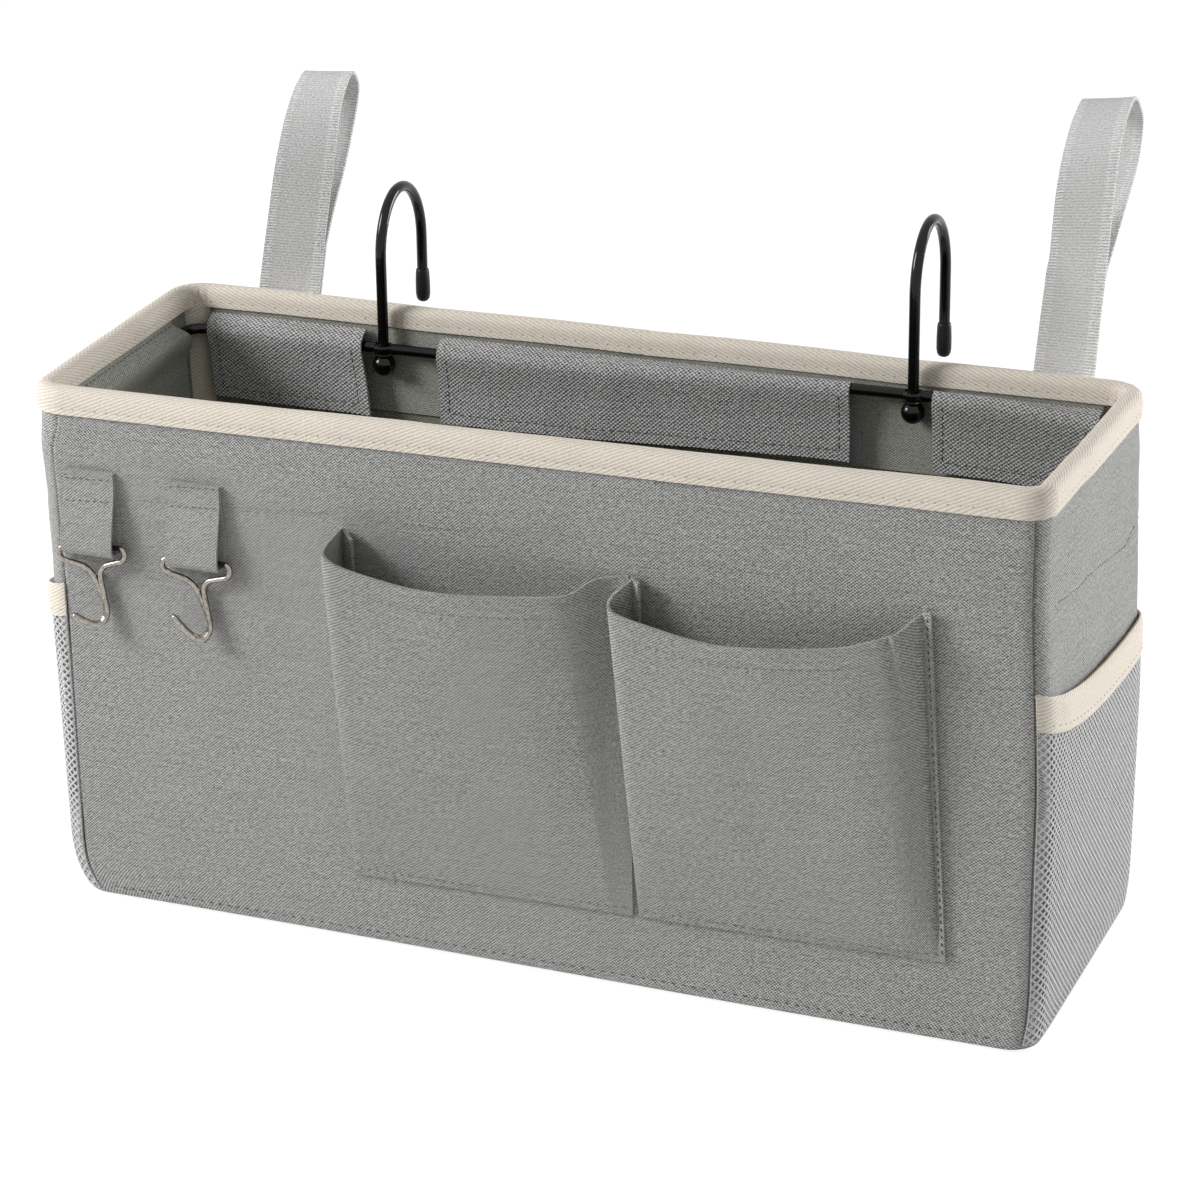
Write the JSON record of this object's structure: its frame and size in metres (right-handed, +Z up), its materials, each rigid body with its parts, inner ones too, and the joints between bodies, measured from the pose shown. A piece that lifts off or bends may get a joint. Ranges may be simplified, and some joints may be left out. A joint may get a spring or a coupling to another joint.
{
  "type": "bedside caddy",
  "caption": "Open canvas caddy on a wire rim frame, with rail hooks, strap loops, pleated front pockets, net side pockets and small wire hooks.",
  "frame": {"origin": "centre of the underside of the base, on the plane it stands on", "axes": "+Z up, +X along the front to the right, front faces -Y, hooks and straps at +Y"},
  "size_m": [0.418, 0.2305, 0.3111],
  "materials": {
    "canvas": "matte",
    "lining_cloth": "matte",
    "cream_tape": "matte",
    "net": "matte",
    "strap_tape": "matte",
    "fastener_tape": "matte",
    "felt": "matte",
    "board": "matte",
    "black_wire": "gloss",
    "rubber_tip": "matte",
    "nickel": "polished"
  },
  "bodies": {
    "basket": {"front_panel": "canvas", "back_panel": "canvas", "left_panel": "canvas", "right_panel": "canvas", "bottom_panel": "canvas", "front_board": "board", "back_board": "board", "bottom_board": "board", "left_interlining": "felt", "right_interlining": "felt", "front_lining": "lining_cloth", "back_lining": "lining_cloth", "left_lining": "lining_cloth", "right_lining": "lining_cloth", "bottom_lining": "lining_cloth", "front_facing": "lining_cloth", "left_facing": "lining_cloth", "right_facing": "lining_cloth", "back_facing": "lining_cloth", "rim_binding": "cream_tape", "corner_tape_front_left": "cream_tape", "corner_tape_front_right": "cream_tape", "corner_tape_rear_left": "cream_tape", "corner_tape_rear_right": "cream_tape", "wire_frame": "black_wire", "flap_loop_tape_left": "fastener_tape", "flap_loop_tape_middle": "fastener_tape", "flap_loop_tape_right": "fastener_tape", "strap_anchor_left": "strap_tape", "strap_anchor_right": "strap_tape", "mesh_pocket_left": "net", "mesh_pocket_right": "net", "mesh_binding_left": "cream_tape", "mesh_binding_right": "cream_tape", "front_pocket_left": "canvas", "front_pocket_right": "canvas", "hook_tab_left": "canvas", "hook_tab_right": "canvas"},
    "rail_hook_left": {"hanging_hook_left": "black_wire", "hook_washer_left": "black_wire", "hook_tip_left": "rubber_tip"},
    "rail_hook_right": {"hanging_hook_right": "black_wire", "hook_washer_right": "black_wire", "hook_tip_right": "rubber_tip"},
    "flap_left": {"rod_flap_left": "canvas", "flap_hook_tape_left": "fastener_tape"},
    "flap_middle": {"rod_flap_middle": "canvas", "flap_hook_tape_middle": "fastener_tape"},
    "flap_right": {"rod_flap_right": "canvas", "flap_hook_tape_right": "fastener_tape"},
    "loop_strap_left": {"strap_left": "strap_tape"},
    "loop_strap_right": {"strap_right": "strap_tape"},
    "small_hook_left": {"accessory_hook_left": "nickel"},
    "small_hook_right": {"accessory_hook_right": "nickel"}
  },
  "joints": [
    {"name": "rail_hook_left_swivel", "type": "hinge", "parent": "basket", "child": "rail_hook_left", "pos_m": [-0.1125, 0.0593, 0.1994], "axis": [0, 0, 1], "range_deg": [-65, 65]},
    {"name": "rail_hook_right_swivel", "type": "hinge", "parent": "basket", "child": "rail_hook_right", "pos_m": [0.1125, 0.0593, 0.1994], "axis": [0, 0, 1], "range_deg": [-65, 65]},
    {"name": "flap_left_lift", "type": "hinge", "parent": "basket", "child": "flap_left", "pos_m": [-0.153, 0.0626, 0.2051], "axis": [-1, 0, 0], "range_deg": [0, 110]},
    {"name": "flap_middle_lift", "type": "hinge", "parent": "basket", "child": "flap_middle", "pos_m": [0, 0.0626, 0.2051], "axis": [-1, 0, 0], "range_deg": [0, 110]},
    {"name": "flap_right_lift", "type": "hinge", "parent": "basket", "child": "flap_right", "pos_m": [0.153, 0.0626, 0.2051], "axis": [-1, 0, 0], "range_deg": [0, 110]},
    {"name": "strap_left_fold", "type": "hinge", "parent": "basket", "child": "loop_strap_left", "pos_m": [-0.165, 0.0732, 0.2031], "axis": [-1, 0, 0], "range_deg": [-20, 95]},
    {"name": "strap_right_fold", "type": "hinge", "parent": "basket", "child": "loop_strap_right", "pos_m": [0.165, 0.0732, 0.2031], "axis": [-1, 0, 0], "range_deg": [-20, 95]},
    {"name": "small_hook_left_swing", "type": "hinge", "parent": "basket", "child": "small_hook_left", "pos_m": [-0.178, -0.0727, 0.151], "axis": [-1, 0, 0], "range_deg": [0, 90]},
    {"name": "small_hook_right_swing", "type": "hinge", "parent": "basket", "child": "small_hook_right", "pos_m": [-0.1325, -0.0727, 0.151], "axis": [-1, 0, 0], "range_deg": [0, 90]}
  ]
}
